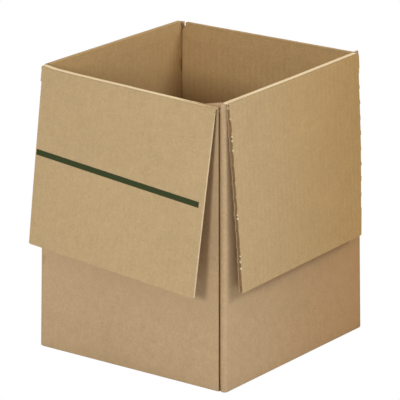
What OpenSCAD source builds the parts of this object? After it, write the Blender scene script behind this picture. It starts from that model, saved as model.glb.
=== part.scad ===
// Cardboard box, set up and open at the top, with its four long top flaps folded outwards.
// One blank of single-wall corrugated board, glued at one upright corner and closed at the floor.
// The origin is on the floor's underside, below the middle of the whole outline, with +Z up
// and the front towards -Y.

/* [Box] */
// Outer width of the box at the floor, along X
base_w = 280; // [220:1:400]
// Outer depth of the box at the floor, along Y
base_d = 290; // [230:1:400]
// Height of the side flaps' folds above the floor
fold_h = 351; // [280:1:480]
// How far each side wall leans in by the height of its fold
rim_in = 5.5; // [0:0.5:8]
// Outside radius of the upright corner folds
corner_r = 5.5; // [5.5:0.5:10]
// Width of the bevel along the side walls' floor folds
floor_bevel = 2; // [0.5:0.25:3]

/* [Board] */
// Thickness of the corrugated board
board_t = 5; // [3:0.25:5]

/* [Front and back flaps] */
// Length along the middle, from fold to free edge
front_len = 216; // [160:1:235]
// How much longer one side edge is than the other
front_skew = 19; // [0:1:22]
// Angle between the hanging front flap and the upright
front_flare = 9.9; // [4:0.1:25]
// Angle between the hanging back flap and the upright
back_flare = 3.5; // [3:0.1:20]
// How much further the flap is set in at its longer side edge
front_inset = 1.5; // [0:0.5:5]
// How far each side edge comes in by the free edge
front_taper = 4.5; // [0:0.5:10]
// Gap between a closed flap's side edge and the wall beside it
slot_gap = 0.4; // [0.3:0.1:2]

/* [Side flaps] */
// Length along the middle, from fold to free edge
side_len = 226; // [160:1:245]
// How much longer one side edge is than the other
side_skew = 6; // [0:1:12]
// Angle between the hanging flap and the upright
side_flare = 3.5; // [3:0.1:20]
// Distance from the front or back wall's face to the longer side edge
side_end = 2; // [1.5:0.25:6]
// How much further the flap is set in at its shorter side edge
side_inset = 9.5; // [0:0.5:12]
// How far each side edge comes in by the free edge
side_taper = 8; // [0:0.5:10]

/* [Flap corners] */
// Radius of the free corners
flap_corner_r = 3.5; // [1:0.5:10]
// Width of the slot beside each flap, cut into the corner post
post_gap = 1.4; // [0.6:0.1:2.5]

/* [Torn edges of the side flaps] */
// Distance along the edge from the fold to the first nub
nub_start = 18; // [10:1:40]
// Distance from one nub to the next
nub_pitch = 19; // [10:1:40]
// Length of a nub along the edge
nub_len = 4; // [2:0.5:8]
// How far the torn edge lies behind the longest nubs
nick_depth = 1.2; // [0.4:0.1:2.5]
// Length of clean edge at the free end
nick_clean = 32; // [15:1:60]

/* [Folds] */
// Clearance between a flap and its wall at the fold
fold_gap = 0.3; // [0.2:0.05:0.6]
// Clearance between closed side flaps and the closed flaps under them
tuck_gap = 0.4; // [0.2:0.1:1]
// Slope of the crushed rim of each wall
wall_bevel = 45; // [40:1:50]
// Slope of the crushed root of each flap
flap_bevel = 34; // [28:1:36]

/* [Glue joint] */
// Distance from the side wall's face back to the front panel's raw edge
joint_gap = 9.5; // [8:0.25:14]
// Width of the open slot between that raw edge and the side panel's fold
joint_slot = 1.8; // [1:0.1:3]
// Depth of that slot
joint_depth = 4; // [2:0.25:4]
// How far the side panel's fold lies behind the front panel's face
joint_step = 0.7; // [0.3:0.1:1.5]
// Width of the glue tab behind the front panel
tab_w = 35; // [20:1:50]
// Slope of the tab's two ends
tab_slope = 13; // [5:1:25]
// Distance from the front fold down to the tab's top corner
tab_drop = 8; // [8:0.5:20]
// Distance from the floor panels up to the tab's lower corner
tab_foot = 4; // [2:0.5:15]

/* [Floor] */
// Gap between the two floor flaps that meet
seam_gap = 2; // [1:0.5:6]
// Depth of the line where a front or back panel meets the floor flaps
foot_groove = 0.8; // [0.3:0.1:1.5]

/* [Hidden] */
$fn = 48;
arc_steps = 8;
kraft = [0.73, 0.63, 0.47];
kraft_outer = [0.70, 0.60, 0.46];
past = 1;
half_w = base_w / 2;
half_d = base_d / 2;
wall_top = fold_h - fold_gap;
floor_top = 2 * board_t;
side_fold_x = half_w - wall_in(fold_h);
front_fold_z = fold_h - board_t - tuck_gap;
front_fold_y = half_d - front_in(front_fold_z);
front_half = side_fold_x - board_t - slot_gap;
side_half = front_fold_y - side_end;
front_outline = flap_points(
    front_half, front_half - front_inset,
    front_len - front_skew / 2, front_len + front_skew / 2, front_taper
);
side_outline = flap_points(
    side_half, side_half - side_inset,
    side_len + side_skew / 2, side_len - side_skew / 2, side_taper
);
frame_shift = (hung_reach(front_flare) - hung_reach(back_flare)) / 2;
nub_heights = [1, 0.75, 0.9, 0.35, 0.8, 0.3, 0.95, 0.4, 0.5, 1];

// How far a side wall has leaned in at height z
function wall_in(z) = rim_in * z / fold_h;

// The same for the front and back walls, in the proportion of the floor
function front_in(z) = wall_in(z) * base_d / base_w;

// How far the front or back flap reaches from the middle when it hangs at an angle
function hung_reach(flare) =
    front_fold_y + tip_len(front_outline) * sin(flare) + (fold_gap + board_t) * cos(flare);

// Largest distance of a flap's outline from its fold
function tip_len(outline) = max([for (p = outline) -p[1]]);

function unit(v) = v / norm(v);

function turned(v, angle) = [
    v[0] * cos(angle) - v[1] * sin(angle),
    v[0] * sin(angle) + v[1] * cos(angle)
];

// Points that round the corner b between a and c with radius r
function corner_arc(a, b, c, r) =
    let (
        p = unit(a - b),
        q = unit(c - b),
        half_angle = acos(p * q) / 2,
        centre = b + unit(p + q) * r / sin(half_angle),
        start = b + p * r / tan(half_angle) - centre,
        end = b + q * r / tan(half_angle) - centre,
        turn = sign(cross(start, end)) * (180 - 2 * half_angle)
    )
    [for (i = [0:arc_steps]) centre + turned(start, turn * i / arc_steps)];

// Flat outline of a flap: fold along X at the origin, free edge towards -Y.
// left and right are the half widths at the fold, with the side edges' own lengths.
function flap_points(left, right, left_len, right_len, taper) =
    let (
        a = [-left, 0],
        b = [taper - left, -left_len],
        c = [right - taper, -right_len],
        d = [right, 0]
    )
    concat([a], corner_arc(a, b, c, flap_corner_r), corner_arc(b, c, d, flap_corner_r), [d]);

module rounded_rect(hw, hd, r) {
    offset(r = r)
        square([2 * (hw - r), 2 * (hd - r)], center = true);
}

// Outside of the folded blank at the floor: the front panel stops at its raw edge,
// and the right panel's fold stands beside it before it turns in behind.
module outer_section() {
    difference() {
        rounded_rect(half_w, half_d, corner_r);
        translate([half_w - joint_gap, -half_d - past]) {
            square([joint_slot, past + joint_depth]);
            square([joint_gap + past, past + joint_step]);
        }
    }
}

// An upright tube between two heights that leans in with the walls
module leaning(z0, z1) {
    translate([0, 0, z0])
        linear_extrude(height = z1 - z0, scale = (half_w - wall_in(z1)) / (half_w - wall_in(z0)))
            children();
}

module walls() {
    hollow_r = max(0.5, corner_r - board_t);
    hollow_low = half_w - board_t - wall_in(-past);
    hollow_high = half_w - board_t - wall_in(wall_top + past);
    difference() {
        leaning(0, wall_top)
            outer_section();
        translate([0, 0, -past])
            linear_extrude(height = wall_top + 2 * past, scale = hollow_high / hollow_low)
                rounded_rect(hollow_low, half_d - board_t - front_in(-past), hollow_r);
    }
}

// What is cut away above a fold that lies along X through the origin, with the outside at -Y
module fold_cut(from, to) {
    depth = board_t + 3 * past;
    drop = depth * tan(wall_bevel);
    rise = 2 * board_t + past;
    translate([from, 0, 0])
        rotate([90, 0, 90])
            linear_extrude(height = to - from)
                polygon([
                    [-2 * past, -fold_gap],
                    [0, -fold_gap],
                    [depth, -fold_gap - drop],
                    [depth, rise],
                    [-2 * past, rise]
                ]);
}

// Glue tab of the right panel, on the inside of the front panel
module glue_tab() {
    sunk = board_t / 3;
    end_drop = tab_w * tan(tab_slope);
    low = floor_top + tab_foot;
    high = front_fold_z - tab_drop;
    root = half_w - board_t + sunk;
    free = half_w - board_t - tab_w;
    translate([0, 2 * board_t - half_d, 0])
        rotate([90 - atan(front_in(1)), 0, 0])
            linear_extrude(height = board_t + sunk)
                polygon([
                    [root - wall_in(low), low],
                    [root - wall_in(high), high],
                    [free - wall_in(high), high - end_drop],
                    [free - wall_in(low), low + end_drop]
                ]);
}

// Two outer floor flaps from the side walls, and on them two inner ones from front and back
module floor_flaps() {
    sunk = board_t / 2;
    reach_x = half_w - sunk - seam_gap / 2;
    reach_y = half_d - sunk - seam_gap / 2;
    for (side = [-1, 1]) {
        translate([side * (seam_gap + reach_x) / 2, 0, board_t / 2])
            cube([reach_x, base_d - 2 * sunk, board_t], center = true);
        translate([0, side * (seam_gap + reach_y) / 2, board_t * 3 / 2])
            cube([base_w - 2 * sunk, reach_y, board_t], center = true);
    }
}

module box_body() {
    bevel = sqrt(2) * floor_bevel;
    groove = sqrt(2) * foot_groove;
    color(kraft_outer)
        framed()
            difference() {
                union() {
                    walls();
                    glue_tab();
                    floor_flaps();
                }
                for (turn = [0, 180])
                    rotate([0, 0, turn]) {
                        translate([0, -front_fold_y, front_fold_z])
                            fold_cut(-front_half - post_gap, front_half - front_inset + post_gap);
                        translate([side_fold_x, 0, fold_h])
                            rotate([0, 0, 90])
                                fold_cut(-half_d - past, side_half - side_inset + post_gap);
                        translate([half_w, 0, 0])
                            rotate([0, 45, 0])
                                cube([bevel, base_d + 2 * past, bevel], center = true);
                        translate([0, -half_d, board_t])
                            rotate([45, 0, 0])
                                cube([base_w + 2 * past, groove, groove], center = true);
                    }
            }
}

// Moves the box so that the origin is below the middle of the outline with all flaps hanging
module framed() {
    translate([0, frame_shift, 0])
        children();
}

// Torn stretches between the nubs of one side edge, which runs along -Y from the origin
// with the board towards -X
module torn_edge(edge_len) {
    last = floor((edge_len - nick_clean - nub_start) / nub_pitch);
    for (i = [0:last]) {
        from = nub_start + i * nub_pitch;
        height = nub_heights[i % len(nub_heights)];
        gap_end = i == last ? edge_len - nick_clean : from + nub_pitch;
        translate([-nick_depth, -gap_end])
            square([nick_depth + past, max(past, gap_end - from - nub_len)]);
        if (height < 1)
            translate([-nick_depth * (1 - height), -from - nub_len])
                square([nick_depth + past, nub_len]);
    }
}

// Board of a flap, standing off the fold by its clearance, with its crushed root
module flap_board(outline) {
    root = fold_gap + board_t / tan(flap_bevel);
    tip = tip_len(outline) + past;
    rotate([90, 0, 90])
        linear_extrude(height = 2 * (max(half_w, half_d) + past), center = true)
            polygon([
                [-fold_gap, fold_gap],
                [-root, fold_gap + board_t],
                [-tip, fold_gap + board_t],
                [-tip, fold_gap]
            ]);
}

// Hangs a flap, drawn flat, from a fold along X on the outside of the front
module hung(flare) {
    rotate([90 - flare, 0, 0])
        children();
}

module front_board(flare) {
    hung(flare)
        intersection() {
            linear_extrude(height = fold_gap + board_t + past)
                polygon(front_outline);
            flap_board(front_outline);
        }
}

module side_board() {
    long_edge = side_len + side_skew / 2;
    short_edge = side_len - side_skew / 2;
    hung(side_flare)
        intersection() {
            linear_extrude(height = fold_gap + board_t + past)
                difference() {
                    polygon(side_outline);
                    translate([side_half - side_inset, 0])
                        rotate(-atan(side_taper / short_edge))
                            torn_edge(short_edge);
                    mirror([1, 0])
                        translate([side_half, 0])
                            rotate(-atan(side_taper / long_edge))
                                torn_edge(long_edge);
                }
            flap_board(side_outline);
        }
}

module front_flap() {
    color(kraft)
        framed()
            translate([0, -front_fold_y, front_fold_z])
                front_board(front_flare);
}

module back_flap() {
    color(kraft)
        framed()
            rotate([0, 0, 180])
                translate([0, -front_fold_y, front_fold_z])
                    front_board(back_flare);
}

module right_flap() {
    color(kraft)
        framed()
            translate([side_fold_x, 0, fold_h])
                rotate([0, 0, 90])
                    side_board();
}

module left_flap() {
    color(kraft)
        framed()
            rotate([0, 0, 180])
                translate([side_fold_x, 0, fold_h])
                    rotate([0, 0, 90])
                        side_board();
}

box_body();
front_flap();
right_flap();
back_flap();
left_flap();
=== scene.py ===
import math
import random

import bmesh
import bpy
from mathutils import Matrix, Vector


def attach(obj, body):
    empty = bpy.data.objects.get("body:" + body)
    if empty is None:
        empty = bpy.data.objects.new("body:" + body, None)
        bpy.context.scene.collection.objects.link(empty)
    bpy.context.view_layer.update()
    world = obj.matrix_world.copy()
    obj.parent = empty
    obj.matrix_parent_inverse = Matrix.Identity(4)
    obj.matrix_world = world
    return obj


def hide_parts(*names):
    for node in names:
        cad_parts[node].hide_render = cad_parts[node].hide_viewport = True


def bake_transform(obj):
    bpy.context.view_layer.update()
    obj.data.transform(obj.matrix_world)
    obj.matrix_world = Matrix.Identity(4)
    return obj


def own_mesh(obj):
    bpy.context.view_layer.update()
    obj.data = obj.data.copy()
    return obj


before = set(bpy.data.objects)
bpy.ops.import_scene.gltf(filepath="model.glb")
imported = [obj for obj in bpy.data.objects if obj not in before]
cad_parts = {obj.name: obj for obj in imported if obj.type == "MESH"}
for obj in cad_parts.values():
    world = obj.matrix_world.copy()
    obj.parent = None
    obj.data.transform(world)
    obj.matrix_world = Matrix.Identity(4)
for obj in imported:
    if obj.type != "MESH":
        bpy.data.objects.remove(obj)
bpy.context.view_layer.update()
print("stage: CAD frame loaded")

# Sizes that every piece shares, in millimetres
board = {
    "halfWide": 140.0,
    "halfDeep": 145.0,
    "foldHeight": 351.0,
    "lean": 5.5,
    "shift": 12.4516,
    "thick": 5.0,
    "gap": 0.3,
    "cornerRadius": 5.5,
    "flutePitch": 8.9,
    "liner": 0.5,
    "lip": 0.1,  # slope from a liner's cut edge down to the fluting
    "edgeRecess": 1.2,
}
# Folds, with the crease's two ends and its height over the hinge line at places along it
folds = {
    "front": {
        "turn": 0, "dist": 139.391, "z": 345.6, "flare": 9.9, "body": "front_flap",
        "rise": [(-130, 8.4), (-116, 6.3), (-92, 5.0), (128, -2.4)], "bow": 0.9,
        "ends": (-130.3, 124.2),
    },
    "right": {
        "turn": 90, "dist": 134.5, "z": 351.0, "flare": 3.5, "body": "right_flap",
        "rise": [(-138, -0.7), (0, 0.3), (128, 2.2)], "bow": 0.0,
        "ends": (-137.2, 128.8),
    },
    "back": {
        "turn": 180, "dist": 139.391, "z": 345.6, "flare": 3.5, "body": "back_flap",
        "rise": [(-130, 5.7), (130, 5.7)], "bow": 0.9,
        "ends": (-129.0, 124.2),
    },
    "left": {
        "turn": 270, "dist": 134.5, "z": 351.0, "flare": 3.5, "body": "left_flap",
        "rise": [(-138, 1.6), (0, 2.2), (128, 2.5)], "bow": 0.0,
        "ends": (-132.0, 128.8),
    },
}


def leanAt(z):
    return board["lean"] * z / board["foldHeight"]


def smoothStep(t):
    t = min(1.0, max(0.0, t))
    return t * t * (3 - 2 * t)


def between(points, x):
    for (xa, ya), (xb, yb) in zip(points, points[1:]):
        if x <= xb:
            return ya + (yb - ya) * (x - xa) / (xb - xa)
    return points[-1][1]


def place(x, y, z):
    return Vector((x, y + board["shift"], z)) / 1000


# u runs along the fold, v down the flap and w out of it
def flapPoint(fold, u, v, w):
    flare = math.radians(fold["flare"])
    s = v * math.sin(flare) + w * math.cos(flare)
    z = -v * math.cos(flare) + w * math.sin(flare)
    return foldPoint(fold, u, s, z)


# u runs along the fold, s out from the wall and z up from the hinge line
def foldPoint(fold, u, s, z):
    turn = math.radians(fold["turn"])
    x, y = u, -fold["dist"] - s
    return place(
        x * math.cos(turn) - y * math.sin(turn),
        x * math.sin(turn) + y * math.cos(turn),
        fold["z"] + z,
    )


class Sheet:
    def __init__(self, name):
        self.name = name
        self.points = []
        self.faces = []
        self.uvs = []
        self.slots = []

    def add(self, point):
        self.points.append(point)
        return len(self.points) - 1

    def face(self, ids, uvs, slot):
        self.faces.append(ids)
        self.uvs.append(uvs)
        self.slots.append(slot)

    def build(self, materials, sharpAngle):
        mesh = bpy.data.meshes.new(self.name)
        mesh.from_pydata(self.points, [], self.faces)
        layer = mesh.uv_layers.new(name="sheetUV")
        for polygon, uvs, slot in zip(mesh.polygons, self.uvs, self.slots):
            polygon.material_index = slot
            polygon.use_smooth = True
            for loop, uv in zip(polygon.loop_indices, uvs):
                layer.data[loop].uv = (uv[0] / 1000, uv[1] / 1000)
        for material in materials:
            mesh.materials.append(material)
        mesh.validate()
        piece = bpy.data.objects.new(self.name, mesh)
        bpy.context.scene.collection.objects.link(piece)
        outwardNormals(piece)
        sharpByAngle(piece, sharpAngle)
        return piece


def outwardNormals(piece):
    work = bmesh.new()
    work.from_mesh(piece.data)
    bmesh.ops.remove_doubles(work, verts=work.verts, dist=1e-6)
    bmesh.ops.recalc_face_normals(work, faces=work.faces)
    work.to_mesh(piece.data)
    work.free()


def sharpByAngle(piece, degrees):
    work = bmesh.new()
    work.from_mesh(piece.data)
    limit = math.radians(degrees)
    for edge in work.edges:
        edge.smooth = not (len(edge.link_faces) != 2 or edge.calc_face_angle(0) > limit)
    work.to_mesh(piece.data)
    work.free()


# Short ways to add shader nodes
def newGroup(name, inputs, outputs):
    tree = bpy.data.node_groups.new(name, "ShaderNodeTree")
    for label, kind, value in inputs:
        socket = tree.interface.new_socket(name=label, in_out="INPUT", socket_type=kind)
        if value is not None:
            socket.default_value = value
    for label, kind in outputs:
        tree.interface.new_socket(name=label, in_out="OUTPUT", socket_type=kind)
    return tree, tree.nodes.new("NodeGroupInput"), tree.nodes.new("NodeGroupOutput")


def wire(tree, source, target):
    tree.links.new(source, target)


def mathNode(tree, operation, a, b=None, c=None):
    node = tree.nodes.new("ShaderNodeMath")
    node.operation = operation
    for index, value in enumerate((a, b, c)):
        if value is None:
            continue
        if isinstance(value, (int, float)):
            node.inputs[index].default_value = value
        else:
            wire(tree, value, node.inputs[index])
    return node.outputs[0]


def mixColor(tree, factor, a, b, blend="MIX"):
    node = tree.nodes.new("ShaderNodeMix")
    node.data_type = "RGBA"
    node.blend_type = blend
    for index, value in ((0, factor), (6, a), (7, b)):
        if isinstance(value, (int, float)):
            node.inputs[index].default_value = value
        elif isinstance(value, tuple):
            node.inputs[index].default_value = (*value, 1.0)
        else:
            wire(tree, value, node.inputs[index])
    return node.outputs[2]


def scaleColor(tree, color, factor):
    node = tree.nodes.new("ShaderNodeVectorMath")
    node.operation = "SCALE"
    wire(tree, color, node.inputs[0])
    wire(tree, factor, node.inputs["Scale"])
    return node.outputs[0]


def splitVector(tree, vector):
    node = tree.nodes.new("ShaderNodeSeparateXYZ")
    wire(tree, vector, node.inputs[0])
    return node.outputs[0], node.outputs[1]


def noiseNode(tree, vector, scale, stretch=(1, 1, 1), shift=(0, 0, 0), detail=3.0, rough=0.55):
    mapping = tree.nodes.new("ShaderNodeMapping")
    mapping.inputs["Scale"].default_value = stretch
    mapping.inputs["Location"].default_value = shift
    wire(tree, vector, mapping.inputs["Vector"])
    node = tree.nodes.new("ShaderNodeTexNoise")
    node.inputs["Scale"].default_value = scale
    node.inputs["Detail"].default_value = detail
    node.inputs["Roughness"].default_value = rough
    wire(tree, mapping.outputs[0], node.inputs["Vector"])
    return node.outputs["Fac"]


def rangeNode(tree, value, fromLow, fromHigh, toLow, toHigh, kind="LINEAR"):
    node = tree.nodes.new("ShaderNodeMapRange")
    node.interpolation_type = kind
    node.clamp = True
    wire(tree, value, node.inputs["Value"])
    limits = {"From Min": fromLow, "From Max": fromHigh, "To Min": toLow, "To Max": toHigh}
    for label, number in limits.items():
        node.inputs[label].default_value = number
    return node.outputs["Result"]


def groupNode(tree, group):
    node = tree.nodes.new("ShaderNodeGroup")
    node.node_tree = group
    return node


# Kraft paper: layers of noise round the liner's colour, then dark and light specks
kraft = {
    "layers": {
        "broad": {"scale": 9.0, "weight": 0.10, "detail": 2.0},
        "blotch": {"scale": 30.0, "weight": 0.08, "shift": (2, 6, 1)},
        "middle": {"scale": 85.0, "weight": 0.16},
        "fibre": {"scale": 420.0, "weight": 0.18, "stretch": (1, 1, 0.45), "detail": 2.0},
        "grain": {"scale": 520.0, "weight": 0.44, "shift": (3, 1, 2), "rough": 0.65},
    },
    "speckScale": 620.0,
    "specks": [
        {"from": (0.70, 0.78), "to": (0.0, 0.30), "color": (0.16, 0.09, 0.035)},
        {"from": (0.22, 0.30), "to": (0.22, 0.0), "color": (0.72, 0.58, 0.38)},
    ],
    "fibreHeight": 0.6,
    "middleHeight": 0.4,
}


def makeKraftGroup():
    tree, start, end = newGroup(
        "kraftPaper",
        [
            ("Vector", "NodeSocketVector", None),
            ("Color", "NodeSocketColor", (0.5, 0.36, 0.19, 1)),
            ("Mottle", "NodeSocketFloat", 1.0),
        ],
        [("Color", "NodeSocketColor"), ("Height", "NodeSocketFloat")],
    )
    vector = start.outputs["Vector"]
    noises, total = {}, 0.0
    for name, layer in kraft["layers"].items():
        look = {key: value for key, value in layer.items() if key != "weight"}
        noises[name] = noiseNode(tree, vector, **look)
        swing = mathNode(tree, "SUBTRACT", noises[name], 0.5)
        total = mathNode(tree, "MULTIPLY_ADD", swing, layer["weight"], total)
    gain = mathNode(tree, "MULTIPLY_ADD", total, start.outputs["Mottle"], 1.0)
    coloured = scaleColor(tree, start.outputs["Color"], gain)
    speck = noiseNode(tree, vector, kraft["speckScale"], shift=(7, 5, 3), detail=1.0)
    for kind in kraft["specks"]:
        share = rangeNode(tree, speck, *kind["from"], *kind["to"])
        coloured = mixColor(tree, share, coloured, kind["color"])
    height = mathNode(tree, "MULTIPLY", noises["middle"], kraft["middleHeight"])
    height = mathNode(tree, "MULTIPLY_ADD", noises["fibre"], kraft["fibreHeight"], height)
    wire(tree, coloured, end.inputs["Color"])
    wire(tree, height, end.inputs["Height"])
    return tree


# Flute lines that show through the liner, wandering and stronger in patches: they set the bump and
# darken the colour as painted shade of the washboard ripples
fluteLines = {
    "wanderScale": 26.0, "wander": 1.6,
    "patchScale": 17.0, "patchRange": (0.3, 0.7), "patchStrength": (0.45, 1.35),
}


def makeFluteGroup():
    tree, start, end = newGroup(
        "fluteLines",
        [("Vector", "NodeSocketVector", None), ("UV", "NodeSocketVector", None)],
        [("Wave", "NodeSocketFloat")],
    )
    vector = start.outputs["Vector"]
    along = splitVector(tree, start.outputs["UV"])[0]
    wander = noiseNode(tree, vector, fluteLines["wanderScale"], stretch=(1, 1, 0.5), detail=1.0)
    swing = mathNode(tree, "SUBTRACT", wander, 0.5)
    phase = mathNode(tree, "MULTIPLY", along, 2000 * math.pi / board["flutePitch"])
    phase = mathNode(tree, "MULTIPLY_ADD", swing, fluteLines["wander"], phase)
    wave = mathNode(tree, "SINE", phase)
    patch = noiseNode(tree, vector, fluteLines["patchScale"], shift=(4, 9, 2), detail=2.0)
    strength = rangeNode(tree, patch, *fluteLines["patchRange"], *fluteLines["patchStrength"])
    wire(tree, mathNode(tree, "MULTIPLY", wave, strength), end.inputs["Wave"])
    return tree


kraftGroup = makeKraftGroup()
fluteGroup = makeFluteGroup()

# Liner colours as linear values
tones = {
    "inner": (0.518, 0.377, 0.206),
    "inside": (0.520, 0.345, 0.160),
    "outer": (0.514, 0.367, 0.216),
    "side": (0.519, 0.373, 0.203),
    "cream": (0.735, 0.595, 0.405),
    # Pale crease line: rubbed liner brightened further as a painted highlight
    "rubbedHighlight": (0.955, 0.768, 0.490),
    # Raw cut edge: the board's own dark medium, with painted shade of its open flutes
    "edge": (0.240, 0.152, 0.070),
    "stripe": (0.037, 0.051, 0.018),
}
linerFinish = {
    "roughness": 0.86,
    "specular": 0.18,
    "paintedFluteShade": (0.84, 0.82, 0.79),
    "fluteHeight": -0.35,
    "bump": 0.25,
    "bumpDepth": 0.0004,
}


def kraftNode(tree, vector, color, mottle=1.0):
    node = groupNode(tree, kraftGroup)
    wire(tree, vector, node.inputs["Vector"])
    node.inputs["Color"].default_value = (*color, 1)
    node.inputs["Mottle"].default_value = mottle
    return node.outputs["Color"], node.outputs["Height"]


def coordinates(tree):
    node = tree.nodes.new("ShaderNodeTexCoord")
    uv = tree.nodes.new("ShaderNodeUVMap")
    uv.uv_map = "sheetUV"
    return node.outputs["Object"], uv.outputs["UV"]


def addBump(tree, shader, height):
    bump = tree.nodes.new("ShaderNodeBump")
    bump.inputs["Strength"].default_value = linerFinish["bump"]
    bump.inputs["Distance"].default_value = linerFinish["bumpDepth"]
    wire(tree, height, bump.inputs["Height"])
    wire(tree, bump.outputs[0], shader.inputs["Normal"])


def linerMaterial(name, color, flutes=0.0, extra=None, mottle=1.0):
    material = bpy.data.materials.new(name)
    material.use_nodes = True
    tree = material.node_tree
    shader = next(n for n in tree.nodes if n.type == "BSDF_PRINCIPLED")
    shader.inputs["Roughness"].default_value = linerFinish["roughness"]
    shader.inputs["Specular IOR Level"].default_value = linerFinish["specular"]
    vector, uv = coordinates(tree)
    shade, height = kraftNode(tree, vector, color, mottle)
    if flutes > 0:
        lines = groupNode(tree, fluteGroup)
        wire(tree, vector, lines.inputs["Vector"])
        wire(tree, uv, lines.inputs["UV"])
        wave = lines.outputs["Wave"]
        # Darker along the flute lines: painted shade of the washboard ripples
        factor = mathNode(tree, "MULTIPLY_ADD", wave, 0.5 * flutes, 0.5 * flutes)
        shade = mixColor(tree, factor, shade, linerFinish["paintedFluteShade"], "MULTIPLY")
        height = mathNode(tree, "MULTIPLY_ADD", wave, linerFinish["fluteHeight"], height)
    if extra:
        shade = extra(tree, vector, uv, shade)
    wire(tree, shade, shader.inputs["Base Color"])
    addBump(tree, shader, height)
    return material


def raggedEdge(tree, vector, away, scale, detail, size):
    swing = mathNode(tree, "SUBTRACT", noiseNode(tree, vector, scale, detail=detail), 0.5)
    return mathNode(tree, "MULTIPLY_ADD", swing, size / 1000, away)


# Printed stripe: its distance from the fold at both ends, then where it begins and ends
stripe = {
    "left": 95.0, "right": 116.0, "width": 7.0, "begin": -126.0, "end": 116.4,
    "soft": 0.3, "ragged": 0.7, "raggedScale": 900.0,
}


def stripeColor(tree, vector, uv, shade):
    along, down = splitVector(tree, uv)
    begin, stop, soft = stripe["begin"] / 1000, stripe["end"] / 1000, stripe["soft"] / 1000
    half = stripe["width"] / 2000
    slope = (stripe["right"] - stripe["left"]) / (stripe["end"] - stripe["begin"])
    middle = (stripe["left"] - slope * stripe["begin"]) / 1000
    level = mathNode(tree, "MULTIPLY_ADD", along, -slope, down)
    away = mathNode(tree, "ABSOLUTE", mathNode(tree, "SUBTRACT", level, middle))
    away = raggedEdge(tree, vector, away, stripe["raggedScale"], 2.0, stripe["ragged"])
    across = rangeNode(tree, away, half - soft, half + soft, 1.0, 0.0)
    before = rangeNode(tree, along, stop - soft, stop + soft, 1.0, 0.0)
    after = rangeNode(tree, along, begin - soft, begin + soft, 0.0, 1.0)
    ink = mathNode(tree, "MULTIPLY", mathNode(tree, "MULTIPLY", across, before), after)
    return mixColor(tree, ink, shade, tones["stripe"])


# Pale line along the top of a fold, partly rubbed liner and partly a painted highlight where the
# ridge meets the light; in millimetres across the crease
creaseRubAndHighlight = {"middle": 0.8, "markFull": 2.2, "clean": 3.6, "ragged": 1.2, "raggedScale": 160.0}


def rubAndHighlightColor(tree, vector, uv, shade):
    across = splitVector(tree, uv)[1]
    away = mathNode(tree, "ABSOLUTE", mathNode(tree, "SUBTRACT", across, creaseRubAndHighlight["middle"] / 1000))
    away = raggedEdge(tree, vector, away, creaseRubAndHighlight["raggedScale"], 3.0, creaseRubAndHighlight["ragged"])
    markFull = rangeNode(tree, away, creaseRubAndHighlight["markFull"] / 1000, creaseRubAndHighlight["clean"] / 1000, 1.0, 0.0, "SMOOTHSTEP")
    return mixColor(tree, markFull, shade, tones["rubbedHighlight"])


# Painted shade: a liner darkens from front to back, and the walls are also painted lighter at the
# left than at the right, in place of the light's fall-off; distances in metres
paintedFalloff = {
    "frontToBack": (-0.12, 0.15),
    "leftToRight": (-0.14, 0.14),
    "flapBack": (0.79, 0.685, 0.49),
    "wallBack": (0.81, 0.675, 0.525),
    "wallAcross": 0.04,
}


def falloffShadeColor(backShade, across=0.0):
    def add(tree, vector, uv, shade):
        x, y = splitVector(tree, vector)
        if across:
            drift = rangeNode(tree, x, *paintedFalloff["leftToRight"], 1 + across, 1 - across)
            shade = scaleColor(tree, shade, drift)
        along = rangeNode(tree, y, *paintedFalloff["frontToBack"], 0.0, 1.0)
        return mixColor(tree, along, shade, mixColor(tree, 1.0, shade, backShade, "MULTIPLY"))

    return add


# Where a crease turns to the tone of the box's inside, in millimetres across it
insideEdge = {"fold": (-6.0, -2.0), "rim": (0.0, 9.0)}


def insideTint(low, high):
    def add(tree, vector, uv, shade):
        across = splitVector(tree, uv)[1]
        inner = rangeNode(tree, across, low / 1000, high / 1000, 1.0, 0.0, "SMOOTHSTEP")
        return mixColor(tree, inner, shade, kraftNode(tree, vector, tones["inside"])[0])

    return add


def inTurn(*steps):
    def add(tree, vector, uv, shade):
        for step in steps:
            shade = step(tree, vector, uv, shade)
        return shade

    return add


# Painted fall-off shade for the flaps, and for the walls with their left-to-right shade as well
flapFalloffShade = falloffShadeColor(paintedFalloff["flapBack"])
wallFalloffShade = falloffShadeColor(paintedFalloff["wallBack"], paintedFalloff["wallAcross"])
foldTint, rimTint = insideTint(*insideEdge["fold"]), insideTint(*insideEdge["rim"])
innerLiner = linerMaterial("innerLiner", tones["inner"], flutes=0.2)
insideLiner = linerMaterial("insideLiner", tones["inside"], flutes=0.22)
outerLiner = linerMaterial("outerLiner", tones["outer"])
# Outer wall liner: painted shade, darker towards the back and towards the right
wallLiner = linerMaterial("wallLiner", tones["outer"], extra=wallFalloffShade)
# Side and back flaps' liner: painted shade, darker towards the back
falloffShadedLiner = linerMaterial("falloffShadedLiner", tones["side"], flutes=0.2, extra=flapFalloffShade)
stripedLiner = linerMaterial("stripedLiner", tones["inner"], flutes=0.1, extra=stripeColor)
# Raw cut edges, with painted shade of the open flutes; also the painted shade inside the wall
# corners' slits
shadedRawEdge = linerMaterial("shadedRawEdge", tones["edge"], mottle=2.0)
creamLiner = linerMaterial("creamLiner", tones["cream"])
# Front crease: its pale ridge line is rubbed liner with a painted highlight
creaseLiner = linerMaterial(
    "creaseLiner", tones["inner"], flutes=0.1, extra=inTurn(foldTint, rubAndHighlightColor),
)
# Side flaps' crease: painted shade darker towards the back, and a pale ridge line of rubbed liner
# with a painted highlight
falloffShadedCrease = linerMaterial(
    "falloffShadedCrease", tones["side"], flutes=0.2, extra=inTurn(flapFalloffShade, foldTint, rubAndHighlightColor),
)
# Back and left rims: painted shade, darker towards the back
rimLiner = linerMaterial("rimLiner", tones["side"], flutes=0.2, extra=inTurn(flapFalloffShade, rimTint))
print("stage: materials made")

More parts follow.
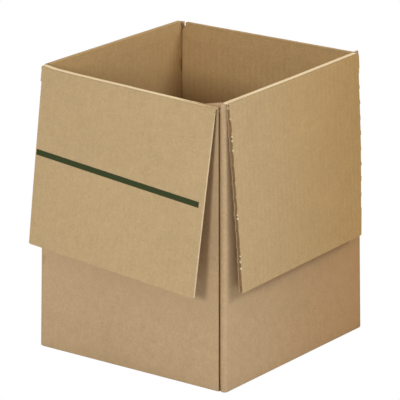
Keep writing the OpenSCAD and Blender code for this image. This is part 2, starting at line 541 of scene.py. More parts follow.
# Top flaps: half widths at the fold, lengths at both sides, and how the cut edges look
frontShape = {
    "left": 129.1, "right": 124.2, "leftLen": 206.5, "rightLen": 225.5,
    "leftTaper": 4.5, "rightTaper": 2.5, "corner": 1.6, "bulge": 0.0,
    "crush": 1.9, "sideRecess": 0.1, "torn": False, "bits": [], "seed": 3,
}
sideShape = {
    "left": 137.4, "right": 127.9, "leftLen": 229.0, "rightLen": 223.0,
    "leftTaper": 8.0, "rightTaper": 8.0, "corner": 1.2, "bulge": 0.0,
    "crush": 0.0, "sideRecess": 0.7, "torn": True, "seed": 8,
    "bits": [18.7, 40.0, 45.0, 56.5, 134.0, 138.5, 184.0, 191.0, 199.0],
}
flapMesh = {
    "columns": 176, "rows": 26, "tipSteps": (0.4, 0.9, 1.5, 2.3, 3.5),
    "sideSteps": (0.3, 0.7, 1.1), "sideSpan": 260, "rootSlope": 34, "rootDown": 1.6, "rootOut": 1.4,
    "relief": 0.03, "crushFrom": 0.965, "bowLength": 220, "bowWidth": 140, "sharp": 38,
}
torn = {
    "start": 18.0, "pitch": 19.0, "nub": 4.0, "depth": 1.2, "clean": 32.0, "step": 0.5,
    "deep": 0.5, "jitter": (-0.18, 0.12),
    "nubHeights": [1, 0.75, 0.9, 0.35, 0.8, 0.3, 0.95, 0.4, 0.5, 1],
}


def tornSpans(edgeLen):
    spans = []
    heights = torn["nubHeights"]
    last = math.floor((edgeLen - torn["clean"] - torn["start"]) / torn["pitch"])
    for i in range(last + 1):
        begin = torn["start"] + i * torn["pitch"]
        finish = edgeLen - torn["clean"] if i == last else begin + torn["pitch"]
        spans.append((begin, begin + torn["nub"], torn["depth"] * (1 - heights[i % len(heights)])))
        spans.append((begin + torn["nub"], finish, torn["depth"]))
    return spans


def tornInset(spans, v, dice):
    for begin, finish, depth in spans:
        if begin <= v < finish:
            rise = min(1.0, (v - begin) / torn["step"])
            return depth * rise + (dice.uniform(*torn["jitter"]) if depth > torn["deep"] else 0.0)
    return 0.0


def flapBow(fold, u, v):
    down = math.sin(math.pi * min(1.0, v / flapMesh["bowLength"]))
    return fold["bow"] * down * math.cos(u / flapMesh["bowWidth"])


def flapRows(shape, rootV, sides):
    shares = {i / flapMesh["rows"] for i in range(flapMesh["rows"] + 1)}
    for spans, length in sides:
        marks = []
        for begin, finish, depth in spans:
            marks += [begin, begin + torn["step"]]
            if depth > torn["deep"]:
                marks.append(begin * 0.5 + finish * 0.5)
        shares.update((v - rootV) / (length - rootV) for v in marks)
    shares.update(1 - step / shape["leftLen"] for step in flapMesh["tipSteps"])
    return sorted(share for share in shares if 0 <= share <= 1)


def flapColumns():
    columns = [i / flapMesh["columns"] for i in range(flapMesh["columns"] + 1)]
    for step in flapMesh["sideSteps"]:
        columns += [step / flapMesh["sideSpan"], 1 - step / flapMesh["sideSpan"]]
    return sorted(columns)


def flapSpot(shape, rootV, share, column, insets):
    length = shape["leftLen"] + (shape["rightLen"] - shape["leftLen"]) * column
    v = rootV + (length - rootV) * share
    low = -shape["left"] + shape["leftTaper"] * v / shape["leftLen"] + insets[0]
    high = shape["right"] - shape["rightTaper"] * v / shape["rightLen"] - insets[1]
    high += shape["bulge"] * math.sin(math.pi * min(1.0, v / shape["rightLen"]))
    u = low + (high - low) * column
    radius = shape["corner"]
    for edge, sign in ((low, -1), (high, 1)):
        du = sign * (u - edge) + radius
        dv = v - length + radius
        reach = math.hypot(du, dv)
        if du > 0 and dv > 0 and reach > radius:
            u = edge - sign * radius + sign * du * radius / reach
            v = length - radius + dv * radius / reach
    return u, v


def flapGrid(shape, rootV, columns):
    dice = random.Random(shape["seed"])
    lengths = (shape["leftLen"], shape["rightLen"])
    sides = [(tornSpans(length) if shape["torn"] else [], length) for length in lengths]
    grid = []
    for share in flapRows(shape, rootV, sides):
        insets = [
            tornInset(spans, rootV + (length - rootV) * share, dice) for spans, length in sides
        ]
        grid.append([flapSpot(shape, rootV, share, column, insets) for column in columns])
    return grid


# The rim of the flap, set back between its two liners
def recessedEdge(shape, edge):
    inner = []
    for k, (u, v) in enumerate(edge):
        before, after = edge[max(0, k - 2)], edge[min(len(edge) - 1, k + 2)]
        du, dv = after[0] - before[0], after[1] - before[1]
        size = math.hypot(du, dv) or 1.0
        extra = board["edgeRecess"] - shape["sideRecess"]
        depth = shape["sideRecess"] + extra * (abs(du) / size)
        inner.append((u + dv / size * depth, v - du / size * depth))
    return inner


def makeFlap(name, fold, shape, faceMaterial, edgeMaterial):
    sheet = Sheet(name)
    gap, upper, skin = board["gap"], board["gap"] + board["thick"], board["liner"]
    lip = board["lip"]
    rootV = gap + board["thick"] / math.tan(math.radians(flapMesh["rootSlope"]))
    columns = flapColumns()
    grid = flapGrid(shape, rootV, columns)
    rows, cols = len(grid), len(columns)

    def add(u, v, w):
        return sheet.add(flapPoint(fold, u, v, w + flapBow(fold, u, v)))

    def crushed(c):
        share = (columns[c] - flapMesh["crushFrom"]) / (1 - flapMesh["crushFrom"])
        return shape["crush"] * smoothStep(share)

    top, low = [], []
    for spots in grid:
        topRow, lowRow = [], []
        for c, (u, v) in enumerate(spots):
            wave = flapMesh["relief"] * math.sin(2 * math.pi * u / board["flutePitch"])
            topRow.append(add(u, v, upper + wave))
            lowRow.append(add(u, v, gap + crushed(c)))
        top.append(topRow)
        low.append(lowRow)
    for r in range(rows - 1):
        for c in range(cols - 1):
            around = [(r, c), (r + 1, c), (r + 1, c + 1), (r, c + 1)]
            uvs = [grid[i][j] for i, j in around]
            sheet.face([top[i][j] for i, j in around], uvs, 0)
            sheet.face([low[i][j] for i, j in around[::-1]], uvs[::-1], 1)
    ring = [(r, 0) for r in range(rows)]
    ring += [(rows - 1, c) for c in range(1, cols)]
    ring += [(r, cols - 1) for r in range(rows - 2, -1, -1)]
    edge = [grid[r][c] for r, c in ring]
    inner = recessedEdge(shape, edge)
    rings = [[top[r][c] for r, c in ring]]
    profile = [
        (0.0, upper - skin, False), (1.0, upper - skin - lip, False),
        (1.0, gap + skin + lip, True), (0.0, gap + skin, True),
    ]
    for share, height, below in profile:
        loop = []
        for (r, c), (ua, va), (ub, vb) in zip(ring, edge, inner):
            w = height + (crushed(c) if below else 0.0)
            loop.append(add(ua + (ub - ua) * share, va + (vb - va) * share, w))
        rings.append(loop)
    rings.append([low[r][c] for r, c in ring])
    for i in range(len(rings) - 1):
        for k in range(len(ring) - 1):
            crushedEdge = i in (1, 3) and shape["crush"] > 0 and ring[k][1] == cols - 1
            slot = 2 if i == 2 or crushedEdge else (0 if i < 2 else 1)
            ids = [rings[i][k], rings[i + 1][k], rings[i + 1][k + 1], rings[i][k + 1]]
            sheet.face(ids, [(k, i), (k, i + 1), (k + 1, i + 1), (k + 1, i)], slot)
    rootDown, rootOut = gap + flapMesh["rootDown"], gap + flapMesh["rootOut"]
    root = [sheet.add(flapPoint(fold, u, rootDown, rootOut)) for u, v in grid[0]]
    for c in range(cols - 1):
        uvs = [grid[0][c], grid[0][c + 1], grid[0][c + 1], grid[0][c]]
        sheet.face([top[0][c], top[0][c + 1], root[c + 1], root[c]], uvs, 0)
        sheet.face([root[c], root[c + 1], low[0][c + 1], low[0][c]], uvs, 1)
    for c, k in ((0, 0), (cols - 1, len(ring) - 1)):
        ids = [top[0][c], root[c], low[0][c], rings[4][k], rings[3][k], rings[2][k], rings[1][k]]
        sheet.face(ids if c == 0 else ids[::-1], [(0, 0)] * 7, 1)
    addFluteRibbon(sheet, fold, shape)
    addTornBits(sheet, fold, shape)
    piece = sheet.build([faceMaterial, outerLiner, edgeMaterial, creamLiner], flapMesh["sharp"])
    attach(piece, fold["body"])
    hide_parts(fold["body"])


# Fluting that shows along the free edge of a flap
ribbon = {
    "thick": 0.35, "depth": 1.1, "samples": 12, "sink": 0.15, "slant": 0.8,
    "margin": 4, "crushMargin": 2.5,
}


def addFluteRibbon(sheet, fold, shape):
    inset = board["liner"] + board["lip"]
    low, high = board["gap"] + inset, board["gap"] + board["thick"] - inset
    centre, swing = (low + high) / 2, (high - low - ribbon["thick"]) / 2
    begin = -shape["left"] + shape["leftTaper"] + ribbon["margin"]
    finish = shape["right"] - shape["rightTaper"] - ribbon["margin"]
    finish -= ribbon["crushMargin"] * shape["crush"]
    count = int((finish - begin) / board["flutePitch"] * ribbon["samples"])
    corners = ((1, 0), (1, ribbon["depth"]), (-1, ribbon["depth"]), (-1, 0))
    square = [(0, 0), (1, 0), (1, 1), (0, 1)]
    bands = []
    for i in range(count + 1):
        u = begin + (finish - begin) * i / count
        angle = 2 * math.pi * u / board["flutePitch"]
        column = (u + shape["left"]) / (shape["left"] + shape["right"])
        length = shape["leftLen"] + (shape["rightLen"] - shape["leftLen"]) * column
        v = length - ribbon["sink"]
        w = centre + swing * math.sin(angle) + flapBow(fold, u, v)
        half = ribbon["thick"] / 2 * math.hypot(1, ribbon["slant"] * math.cos(angle))
        bands.append([
            sheet.add(flapPoint(fold, u, v - drop, w + side * half)) for side, drop in corners
        ])
    for a, b in zip(bands, bands[1:]):
        for j in range(4):
            n = (j + 1) % 4
            sheet.face([a[j], b[j], b[n], a[n]], square, 1 if j == 3 else 2)
    for band in (bands[0], bands[-1]):
        sheet.face(band, square, 2)


# Scraps of liner along a torn edge
scrap = {
    "sides": 8, "half": (0.8, 1.5), "out": (0.9, 1.7), "thick": (1.0, 1.8), "jag": (0.8, 1.2),
    "inset": 0.6, "slant": 0.3, "lift": 0.05, "seedShift": 40,
}


def addTornBits(sheet, fold, shape):
    dice = random.Random(shape["seed"] + scrap["seedShift"])
    sides = scrap["sides"]
    for v in shape["bits"]:
        edge = -shape["left"] + shape["leftTaper"] * v / shape["leftLen"]
        half, out, thick = (dice.uniform(*scrap[size]) for size in ("half", "out", "thick"))
        w = board["gap"] + board["thick"] + flapBow(fold, edge, v) + scrap["lift"]
        ring = []
        for step in range(sides):
            angle = 2 * math.pi * step / sides
            jag = dice.uniform(*scrap["jag"])
            u = edge + scrap["inset"] + math.cos(angle) * out * jag
            ring.append((u, v + math.sin(angle) * half * jag))
        high = [sheet.add(flapPoint(fold, u, y, w)) for u, y in ring]
        low = [sheet.add(flapPoint(fold, u + scrap["slant"], y, w - thick)) for u, y in ring]
        sheet.face(high, [(0, 0)] * sides, 3)
        sheet.face(low[::-1], [(0, 0)] * sides, 3)
        for j in range(sides):
            n = (j + 1) % sides
            sheet.face([high[j], low[j], low[n], high[n]], [(0, 0)] * 4, 3)


rightShape = dict(sideShape, bulge=3.0)
leftShape = dict(sideShape, left=132.0, bits=[])
makeFlap("frontFlapBoard", folds["front"], frontShape, stripedLiner, creamLiner)
makeFlap("backFlapBoard", folds["back"], frontShape, falloffShadedLiner, creamLiner)
makeFlap("rightFlapBoard", folds["right"], rightShape, falloffShadedLiner, shadedRawEdge)
makeFlap("leftFlapBoard", folds["left"], leftShape, falloffShadedLiner, shadedRawEdge)
print("stage: flaps made")

# Walls, as one folded sheet from the front panel's raw edge round to the glue tab
walls = {
    "straight": 46, "arc": 6, "rows": 30, "feet": (0.0, 0.25, 0.8, 1.6), "sharp": 38,
    "jointGap": 9.5, "jointStep": 0.7, "jointRadius": 4.0,
    "tabWidth": 34.0, "tabTop": 337.6, "tabFoot": 14.0, "tabSlope": 13.0, "tabSteps": 8,
    "tabRoot": 131.0, "tabFace": -139.95,
    "cornerDepths": (0.5, 0.7, 0.9), "slit": 3.6, "closedSlit": 0.9,
    "posts": {"frontLeft": 352.2, "backLeft": 351.0, "backRight": 354.0},
    "postShare": 0.0175, "postSide": 0.0001, "postDrops": (0.6, 0.4, 0.4, 0.6, 1.0, 1.6, 2.4),
    "shoulder": 350.2, "shoulderEdge": 134.2, "shoulderSlope": 0.72,
    "turnTop": 339.0, "turnEdge": 127.7, "turnGap": 0.2,
    "innerDrop": {"post": 1.0, "joint": 3.0, "turn": 4.0},
}
# The side panel's fold beside the raw edge, and its turn in behind the front panel
jointTurn = [
    (135.2, -144.3), (134.2, -144.25), (133.2, -143.9), (132.6, -143.2),
    (132.4, -142.2), (132.3, -141.2), (132.0, -140.3), (131.4, -139.95),
]


def leaned(point, base, z):
    scale = (base - leanAt(z)) / base
    return point[0] * scale, point[1] * scale


def jointArc():
    radius, steps = walls["jointRadius"], walls["arc"]
    cx = board["halfWide"] - radius
    cy = -board["halfDeep"] + walls["jointStep"] + radius
    angles = [math.radians(-90 * i / steps) for i in range(steps + 1)]
    return [(cx + radius * math.cos(a), cy + radius * math.sin(a)) for a in angles]


def jointTop(x):
    high = leaned((x, 0), board["halfWide"], board["foldHeight"])[0]
    if high < walls["turnEdge"]:
        return walls["turnTop"]
    return walls["shoulder"] - max(0.0, walls["shoulderEdge"] - high) * walls["shoulderSlope"]


def wallColumns():
    wide, deep, t, r = board["halfWide"], board["halfDeep"], board["thick"], board["cornerRadius"]
    frontTop = folds["front"]["z"] - board["gap"]
    sideTop = folds["right"]["z"] - board["gap"]
    posts, innerDrop = walls["posts"], walls["innerDrop"]
    columns = []

    def column(outer, inner, topOuter, topInner, foot=0.0, slit=False):
        columns.append({
            "outer": outer, "inner": inner, "topOuter": topOuter, "topInner": topInner,
            "foot": foot, "slit": slit, "run": 0.0,
        })

    def straight(fromOuter, toOuter, fromInner, toInner, top, post=None):
        shares = [i / walls["straight"] for i in range(walls["straight"] + 1)]
        if post:
            shares += [walls["postShare"] - walls["postSide"], walls["postShare"] + walls["postSide"]]
        for k in sorted(shares):
            raised = post and k < walls["postShare"]
            column(
                [a + (b - a) * k for a, b in zip(fromOuter, toOuter)],
                [a + (b - a) * k for a, b in zip(fromInner, toInner)],
                post if raised else top, post - innerDrop["post"] if raised else top - t,
            )

    def arc(centre, begin, post, slit=walls["slit"], drops=(0,) * (walls["arc"] + 1)):
        depths = [*walls["cornerDepths"], slit, *walls["cornerDepths"][::-1]]
        for i, (depth, drop) in enumerate(zip(depths, drops)):
            angle = math.radians(begin - 90 * i / walls["arc"])
            c, s = math.cos(angle), math.sin(angle)
            column(
                [centre[0] + r * c, centre[1] + r * s],
                [centre[0] + depth * c, centre[1] + depth * s],
                post - drop, post - drop - innerDrop["post"], slit=depth == walls["slit"],
            )

    raw = wide - walls["jointGap"]
    ew, ed = wide - r, deep - r
    turn = jointArc()
    inside = (wide - t, 2 * t - deep)
    straight((raw, -deep), (-ew, -deep), (raw, t - deep), (-ew, t - deep), frontTop)
    arc((-ew, -ed), 270, posts["frontLeft"], slit=walls["closedSlit"])
    straight((-wide, -ed), (-wide, ed), (t - wide, -ed), (t - wide, ed), sideTop, posts["frontLeft"])
    arc((-ew, ed), 180, posts["backLeft"])
    straight((-ew, deep), (ew, deep), (-ew, deep - t), (ew, deep - t), frontTop)
    arc((ew, ed), 90, posts["backRight"], drops=walls["postDrops"])
    lastPost = posts["backRight"] - walls["postDrops"][-1]
    straight((wide, ed), turn[0], (wide - t, ed), inside, sideTop, lastPost)
    for x, y in turn[1:]:
        top = jointTop(x)
        column((x, y), inside, top, top - innerDrop["joint"])
    for x, y in jointTurn:
        top = jointTop(x)
        innerX = min(x, wide - t - walls["turnGap"])
        column((x, y), (innerX, inside[1]), top, top - innerDrop["turn"])
    slope = math.tan(math.radians(walls["tabSlope"]))
    for i in range(walls["tabSteps"] + 1):
        reach = walls["tabWidth"] * i / walls["tabSteps"]
        x = walls["tabRoot"] - reach
        top = walls["tabTop"] - reach * slope
        foot = walls["tabFoot"] + reach * slope
        column((x, walls["tabFace"]), (x, inside[1]), top, top, foot)
    run = 0.0
    for a, b in zip(columns, columns[1:]):
        run += math.hypot(b["outer"][0] - a["outer"][0], b["outer"][1] - a["outer"][1])
        b["run"] = run
    return columns


# Levels of a wall column, closer together at the rounded foot
def wallHeights(column, top):
    low, rounded = column["foot"], []
    if low == 0:
        low, rounded = walls["feet"][-1], list(walls["feet"][:-1])
    steps = walls["rows"] - len(rounded)
    return rounded + [low + (top - low) * i / steps for i in range(steps + 1)]


def footInset(column, z):
    radius = walls["feet"][-1]
    if column["foot"] > 0 or z >= radius:
        return 0.0
    k = 1 - z / radius
    return radius * (1 - math.sqrt(max(0.0, 1 - k * k)))


# A raw end of the sheet, with the fluting set back between the liners
def closeEnd(sheet, outer, inner, recess):
    count = len(outer)
    skin = board["liner"] / board["thick"]
    lip = (board["liner"] + board["lip"]) / board["thick"]
    bands = [outer]
    for share, shift in ((skin, 0.0), (lip, recess), (1 - lip, recess), (1 - skin, 0.0)):
        band = []
        for a, b in zip(outer, inner):
            point = sheet.points[a].lerp(sheet.points[b], share) + Vector((shift / 1000, 0, 0))
            band.append(sheet.add(point))
        bands.append(band)
    bands.append(inner)
    for j in range(len(bands) - 1):
        slot = 2 if j == 2 else (1 if j < 2 else 0)
        for r in range(count - 1):
            ids = [bands[j][r], bands[j + 1][r], bands[j + 1][r + 1], bands[j][r + 1]]
            sheet.face(ids, [(j, r), (j + 1, r), (j + 1, r + 1), (j, r + 1)], slot)
    for r in (0, count - 1):
        sheet.face([band[r] for band in bands], [(0, 0)] * len(bands), 2)


def makeWalls():
    sheet = Sheet("boxShell")
    half, t = board["halfWide"], board["thick"]
    columns = wallColumns()
    outer, inner = [], []
    for c in columns:
        strip = []
        for z in wallHeights(c, c["topOuter"]):
            x, y = leaned(c["outer"], half, z)
            shrink = 1 - footInset(c, z) / half
            strip.append((sheet.add(place(x * shrink, y * shrink, z)), z))
        outer.append(strip)
        strip = []
        for z in wallHeights(c, c["topInner"]):
            x, y = leaned(c["inner"], half - t, z)
            strip.append((sheet.add(place(x, y, z)), z))
        inner.append(strip)
    count = walls["rows"] + 1
    for i in range(len(columns) - 1):
        a, b = columns[i]["run"], columns[i + 1]["run"]
        # Inner faces at a corner slit take the dark raw-edge colour: painted shade down in the slit
        innerSlot = 2 if columns[i]["slit"] or columns[i + 1]["slit"] else 0
        for r in range(count - 1):
            for strips, slot, flip in ((outer, 1, False), (inner, innerSlot, True)):
                p, q = strips[i], strips[i + 1]
                ids = [p[r][0], q[r][0], q[r + 1][0], p[r + 1][0]]
                uvs = [(a, p[r][1]), (b, q[r][1]), (b, q[r + 1][1]), (a, p[r + 1][1])]
                sheet.face(ids[::-1] if flip else ids, uvs[::-1] if flip else uvs, slot)
        for r, slot in ((0, 2), (count - 1, 0)):
            ids = [outer[i][r][0], outer[i + 1][r][0], inner[i + 1][r][0], inner[i][r][0]]
            sheet.face(ids, [(a, 0), (b, 0), (b, t), (a, t)], slot)
    for i, recess in ((0, -board["edgeRecess"]), (len(columns) - 1, board["edgeRecess"])):
        closeEnd(sheet, [p[0] for p in outer[i]], [p[0] for p in inner[i]], recess)
    piece = sheet.build([insideLiner, wallLiner, shadedRawEdge], walls["sharp"])
    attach(piece, "box")
    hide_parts("box_body")


makeWalls()
print("stage: walls made")

# Floor flaps: an outer pair from the side walls, an inner pair on top of it
floorBoards = {
    "seam": 2.0, "reachX": 137.0, "reachY": 142.0, "bevel": 0.5, "sink": 0.1, "clearance": 0.02,
    "level": 0.7, "sharp": 50,
}


def makeFloor():
    work = bmesh.new()
    t, half = board["thick"], floorBoards["seam"] / 2
    reachX, reachY, sink = floorBoards["reachX"], floorBoards["reachY"], floorBoards["sink"]
    boxes = []
    for side in (-1, 1):
        lowCentre = (side * (half + reachX) / 2, 0, t / 2 + sink)
        highCentre = (0, side * (half + reachY) / 2, t * 1.5)
        boxes.append((lowCentre, (reachX - half, 2 * reachY, t - 2 * sink)))
        boxes.append((highCentre, (2 * reachX, reachY - half, t - floorBoards["clearance"])))
    for centre, size in boxes:
        made = bmesh.ops.create_cube(work, size=1.0)
        bmesh.ops.scale(work, vec=Vector(size) / 1000, verts=made["verts"])
        bmesh.ops.translate(work, vec=place(*centre), verts=made["verts"])
    bmesh.ops.bevel(
        work, geom=list(work.edges), offset=floorBoards["bevel"] / 1000, offset_type="OFFSET",
        segments=2, profile=0.5, affect="EDGES", material=-1,
    )
    mesh = bpy.data.meshes.new("floorBoards")
    layer = work.loops.layers.uv.new("sheetUV")
    for face in work.faces:
        face.smooth = True
        high = face.calc_center_median().z > t * 1.5 / 1000
        upward = face.normal.z > floorBoards["level"]
        flat = abs(face.normal.z) > floorBoards["level"]
        face.material_index = 0 if upward and high else (1 if flat else 2)
        for loop in face.loops:
            co = loop.vert.co
            loop[layer].uv = (co.x, co.y) if high else (co.y, co.x)
    work.to_mesh(mesh)
    work.free()
    for material in (innerLiner, outerLiner, shadedRawEdge):
        mesh.materials.append(material)
    piece = bpy.data.objects.new("floorBoards", mesh)
    bpy.context.scene.collection.objects.link(piece)
    sharpByAngle(piece, floorBoards["sharp"])
    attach(piece, "box")


makeFloor()
print("stage: floor made")

# Creases: the liner that bends from each wall's inner face over the fold onto the flap
crease = {
    "foot": [(-5.08, -16.0), (-5.08, -12.0)],
    "flat": [
        (-5.05, -1.3), (-4.85, -0.4), (-4.2, -0.05), (-1.6, 0.05),
        (1.9, 0.0), (4.0, -0.3), (5.0, -1.2),
    ],
    "round": [
        (-5.05, -1.6), (-4.6, -0.5), (-3.5, -0.03), (-1.9, 0.0),
        (0.1, -0.2), (2.2, -1.0), (4.0, -2.5),
    ],
    "flapDrop": [4.6, 8.0, 13.0, 18.0],
    "over": 0.12, "under": 0.9, "rim": 0.06, "rimSteps": 6, "fine": 4, "step": 3.0, "sharp": 60,
    "waver": 0.07, "waverKeep": 0.85, "waverReach": 5.0, "seedShift": 5,
    "from": (1.9, 0.0), "to": (6.2, -1.3),
}


def curvePoint(a, b, c, d, t):
    square = 2 * a - 5 * b + 4 * c - d
    cube = 3 * b - a - 3 * c + d
    return 0.5 * (2 * b + (c - a) * t + square * t * t + cube * t ** 3)


def spline(points, fine):
    dense = []
    last = len(points) - 1
    for i in range(last):
        near = (points[max(0, i - 1)], points[i], points[i + 1], points[min(last, i + 2)])
        for k in range(fine):
            dense.append(tuple(curvePoint(*values, k / fine) for values in zip(*near)))
    dense.append(points[-1])
    return dense


def creaseSection(fold, u, kind):
    flare = math.radians(fold["flare"])
    rise = between(fold["rise"], u)
    controls = list(crease["foot"]) + [(s, z + rise) for s, z in crease[kind]]
    for drop in crease["flapDrop"]:
        z = rise - drop
        w = board["gap"] + board["thick"] + crease["over"] + flapBow(fold, u, max(0.0, -z))
        controls.append(((w - z * math.sin(flare)) / math.cos(flare), z))
    outer = spline(controls, crease["fine"])
    under = []
    for i, (s, z) in enumerate(outer):
        a, b = outer[max(0, i - 1)], outer[min(len(outer) - 1, i + 1)]
        ds, dz = b[0] - a[0], b[1] - a[1]
        size = math.hypot(ds, dz)
        inward = smoothStep(min(i, len(outer) - 1 - i) / crease["rimSteps"])
        depth = crease["under"] * inward + crease["rim"]
        under.append((s + dz / size * depth, z - ds / size * depth))
    along = [0.0]
    for a, b in zip(outer, outer[1:]):
        along.append(along[-1] + math.hypot(b[0] - a[0], b[1] - a[1]))
    middle = along[(len(crease["foot"]) + 3) * crease["fine"]]
    return outer, under, [x - middle for x in along]


def makeCrease(name, fold, kind, material):
    sheet = Sheet(name)
    leftEnd, rightEnd = fold["ends"]
    count = int((rightEnd - leftEnd) / crease["step"])
    dice = random.Random(fold["turn"] + crease["seedShift"])
    waver, bands = 0.0, []
    for i in range(count + 1):
        u = leftEnd + (rightEnd - leftEnd) * i / count
        outer, under, along = creaseSection(fold, u, kind)
        waver = crease["waverKeep"] * waver + dice.uniform(-crease["waver"], crease["waver"])
        band, lengths = [], along + along[::-1]
        for (s, z), run in zip(outer + under[::-1], lengths):
            near = math.exp(-(run / crease["waverReach"]) ** 2)
            band.append(sheet.add(foldPoint(fold, u, s, z + waver * near)))
        bands.append((u, band, lengths))
    m = len(bands[0][1]) // 2
    for (ua, a, la), (ub, b, lb) in zip(bands, bands[1:]):
        for k in range(2 * m):
            n = (k + 1) % (2 * m)
            uvs = [(ua, la[k]), (ub, lb[k]), (ub, lb[n]), (ua, la[n])]
            sheet.face([a[k], b[k], b[n], a[n]], uvs, 0 if k < m - 1 else 1)
    for u, band, lengths in (bands[0], bands[-1]):
        for k in range(m - 1):
            ids = [band[k], band[k + 1], band[2 * m - 2 - k], band[2 * m - 1 - k]]
            sheet.face(ids, [(u, lengths[k])] * 4, 0)
    piece = sheet.build([material, outerLiner], crease["sharp"])
    foldPoint(fold, 0, *crease["from"])
    foldPoint(fold, 0, *crease["to"])
    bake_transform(piece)


makeCrease("frontCrease", folds["front"], "flat", creaseLiner)
makeCrease("backCrease", folds["back"], "round", rimLiner)
makeCrease("rightCrease", folds["right"], "flat", falloffShadedCrease)
makeCrease("leftCrease", folds["left"], "round", rimLiner)
print("stage: creases made")

# Upper end of the glue joint: it stands above the front fold
jointEnd = {
    "split": 345.2, "foot": 337.0, "high": 349.7, "root": 127.4, "reach": 33.0,
    "outer": -135.7, "inner": -134.2, "tipFoot": 2, "tipCore": (129.0, -134.0), "tipShare": 0.45,
    "crown": 0.4, "outerDrop": 0.6, "innerDrop": 0.3, "sharp": 40,
}


def pressedPiece(name, points, faces, joint, anchor):
    sheet = Sheet(name)
    for point in points:
        sheet.add(place(*point))
    for ids in faces:
        sheet.face(ids, [(points[i][0], 0.5) for i in ids], 0)
    piece = sheet.build([outerLiner], jointEnd["sharp"])
    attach(piece, "box")
    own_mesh(piece)


def prism(corners):
    n = len(corners)
    points = [(x, y, z) for y in (jointEnd["outer"], jointEnd["inner"]) for x, z in corners]
    faces = [list(range(n)), list(range(2 * n - 1, n - 1, -1))]
    faces += [[(i + 1) % n, i, n + i, n + (i + 1) % n] for i in range(n)]
    return points, faces


def makeTabEnd():
    slope = math.tan(math.radians(walls["tabSlope"]))
    root, split, high = jointEnd["root"], jointEnd["split"], jointEnd["high"]
    cross = root - (high - split) / slope
    far, farTop = root - jointEnd["reach"], high - jointEnd["reach"] * slope
    foot = jointEnd["foot"]
    tip = prism([(root, split), (root, high), (cross, split)])
    neck = prism([(root, foot), (root, split), (cross, split), (far, farTop), (far, foot)])
    pressedPiece("tabTip", *tip, "right_flap_fold", split)
    pressedPiece("tabNeck", *neck, "front_flap_fold", foot)


def makeJointTip():
    high, foot = jointEnd["high"], jointEnd["split"] - jointEnd["tipFoot"]
    coreX, coreY = jointEnd["tipCore"]
    crown = jointEnd["crown"]
    points, faces, rows = [], [], []
    for x, y in jointArc()[2:] + jointTurn[:4]:
        px, py = leaned((x, y), board["halfWide"], board["foldHeight"])
        qx = px + (coreX - px) * jointEnd["tipShare"]
        qy = py + (coreY - py) * jointEnd["tipShare"]
        section = [
            (px, py, foot),
            (px, py, high - jointEnd["outerDrop"]),
            (px * (1 - crown) + qx * crown, py * (1 - crown) + qy * crown, high),
            (qx, qy, high - jointEnd["innerDrop"]),
            (qx, qy, foot),
        ]
        rows.append(list(range(len(points), len(points) + len(section))))
        points += section
    for a, b in zip(rows, rows[1:]):
        for j in range(len(a)):
            n = (j + 1) % len(a)
            faces.append([a[j], b[j], b[n], a[n]])
    faces.append(rows[0])
    faces.append(rows[-1][::-1])
    pressedPiece("jointTip", points, faces, "right_flap_fold", foot)


makeTabEnd()
makeJointTip()
print("stage: glue joint's upper end made")

# Ground, light and camera
stageSettings = {
    "size": 30.0, "drop": -0.0004, "white": (0.8, 0.8, 0.8, 1),
    "ambient": 0.46, "tint": (1, 0.95, 0.87),
}


def makeStage():
    mesh = bpy.data.meshes.new("stageFloor")
    half = stageSettings["size"] / 2
    square = ((-half, -half), (half, -half), (half, half), (-half, half))
    mesh.from_pydata([(x, y, stageSettings["drop"]) for x, y in square], [], [(0, 1, 2, 3)])
    floor = bpy.data.objects.new("stageFloor", mesh)
    bpy.context.scene.collection.objects.link(floor)
    material = bpy.data.materials.new("stageWhite")
    material.use_nodes = True
    tree = material.node_tree
    tree.nodes.clear()
    out = tree.nodes.new("ShaderNodeOutputMaterial")
    diffuse = tree.nodes.new("ShaderNodeBsdfDiffuse")
    diffuse.inputs["Color"].default_value = stageSettings["white"]
    glow = tree.nodes.new("ShaderNodeEmission")
    glow.inputs["Color"].default_value = (1, 1, 1, 1)
    glow.inputs["Strength"].default_value = 1.0
    path = tree.nodes.new("ShaderNodeLightPath")
    mix = tree.nodes.new("ShaderNodeMixShader")
    wire(tree, path.outputs["Is Camera Ray"], mix.inputs[0])
    wire(tree, diffuse.outputs[0], mix.inputs[1])
    wire(tree, glow.outputs[0], mix.inputs[2])
    wire(tree, mix.outputs[0], out.inputs["Surface"])
    mesh.materials.append(material)


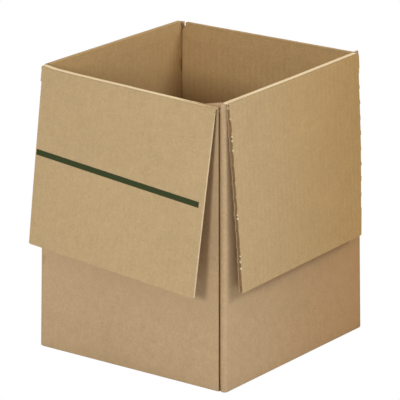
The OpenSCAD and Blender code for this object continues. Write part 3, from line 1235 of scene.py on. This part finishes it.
# White where it is seen, and dimmer and slightly warm where it lights the box
def makeWorld():
    world = bpy.data.worlds.new("stageWorld")
    bpy.context.scene.world = world
    world.use_nodes = True
    tree = world.node_tree
    tree.nodes.clear()
    out = tree.nodes.new("ShaderNodeOutputWorld")
    background = tree.nodes.new("ShaderNodeBackground")
    path = tree.nodes.new("ShaderNodeLightPath")
    seen = mathNode(tree, "MAXIMUM", path.outputs["Is Camera Ray"], path.outputs["Is Glossy Ray"])
    seen = mathNode(tree, "MAXIMUM", seen, path.outputs["Is Transmission Ray"])
    strength = rangeNode(tree, seen, 0.0, 1.0, stageSettings["ambient"], 1.0)
    wire(tree, strength, background.inputs["Strength"])
    color = mixColor(tree, seen, stageSettings["tint"], (1, 1, 1))
    wire(tree, color, background.inputs["Color"])
    wire(tree, background.outputs[0], out.inputs["Surface"])


lampAim = (0, 0.012, 0.2)
lamps = {
    "frontLamp": {"place": (0.895, -2.914, 1.136), "size": 0.5, "power": 40.0},
    "sideLamp": {"place": (2.444, 0.759, 2.106), "size": 1.0, "power": 35.0},
    "backLamp": {"place": (-1.840, 2.544, 0.865), "size": 1.0, "power": 22.0},
}


def makeLamps():
    for name, lamp in lamps.items():
        light = bpy.data.lights.new(name, "AREA")
        light.shape = "SQUARE"
        light.size = lamp["size"]
        light.energy = lamp["power"]
        holder = bpy.data.objects.new(name, light)
        bpy.context.scene.collection.objects.link(holder)
        holder.location = lamp["place"]
        aim = Vector(lampAim) - Vector(lamp["place"])
        holder.rotation_mode = "QUATERNION"
        holder.rotation_quaternion = aim.to_track_quat("-Z", "Y")


cameraSettings = {
    "azimuth": 36.3, "elevation": 17.41, "distance": 3.9264, "lens": 287.12, "sensor": 36.0,
    "right": -0.00245, "up": 0.16714, "clipEnd": 100.0,
}


def makeCamera():
    az = math.radians(cameraSettings["azimuth"])
    el = math.radians(cameraSettings["elevation"])
    back = Vector((math.sin(az) * math.cos(el), -math.cos(az) * math.cos(el), math.sin(el)))
    right = Vector((math.cos(az), math.sin(az), 0))
    up = back.cross(right)
    target = right * cameraSettings["right"] + up * cameraSettings["up"] + place(0, 0, 0)
    data = bpy.data.cameras.new("photoCamera")
    data.lens = cameraSettings["lens"]
    data.sensor_width = cameraSettings["sensor"]
    data.clip_end = cameraSettings["clipEnd"]
    camera = bpy.data.objects.new("photoCamera", data)
    bpy.context.scene.collection.objects.link(camera)
    turn = Matrix((right, up, back)).transposed().to_4x4()
    camera.matrix_world = Matrix.Translation(target + back * cameraSettings["distance"]) @ turn
    bpy.context.scene.camera = camera


makeStage()
makeWorld()
makeLamps()
makeCamera()
bpy.context.scene.view_settings.view_transform = "Standard"
print("stage: light and camera set")
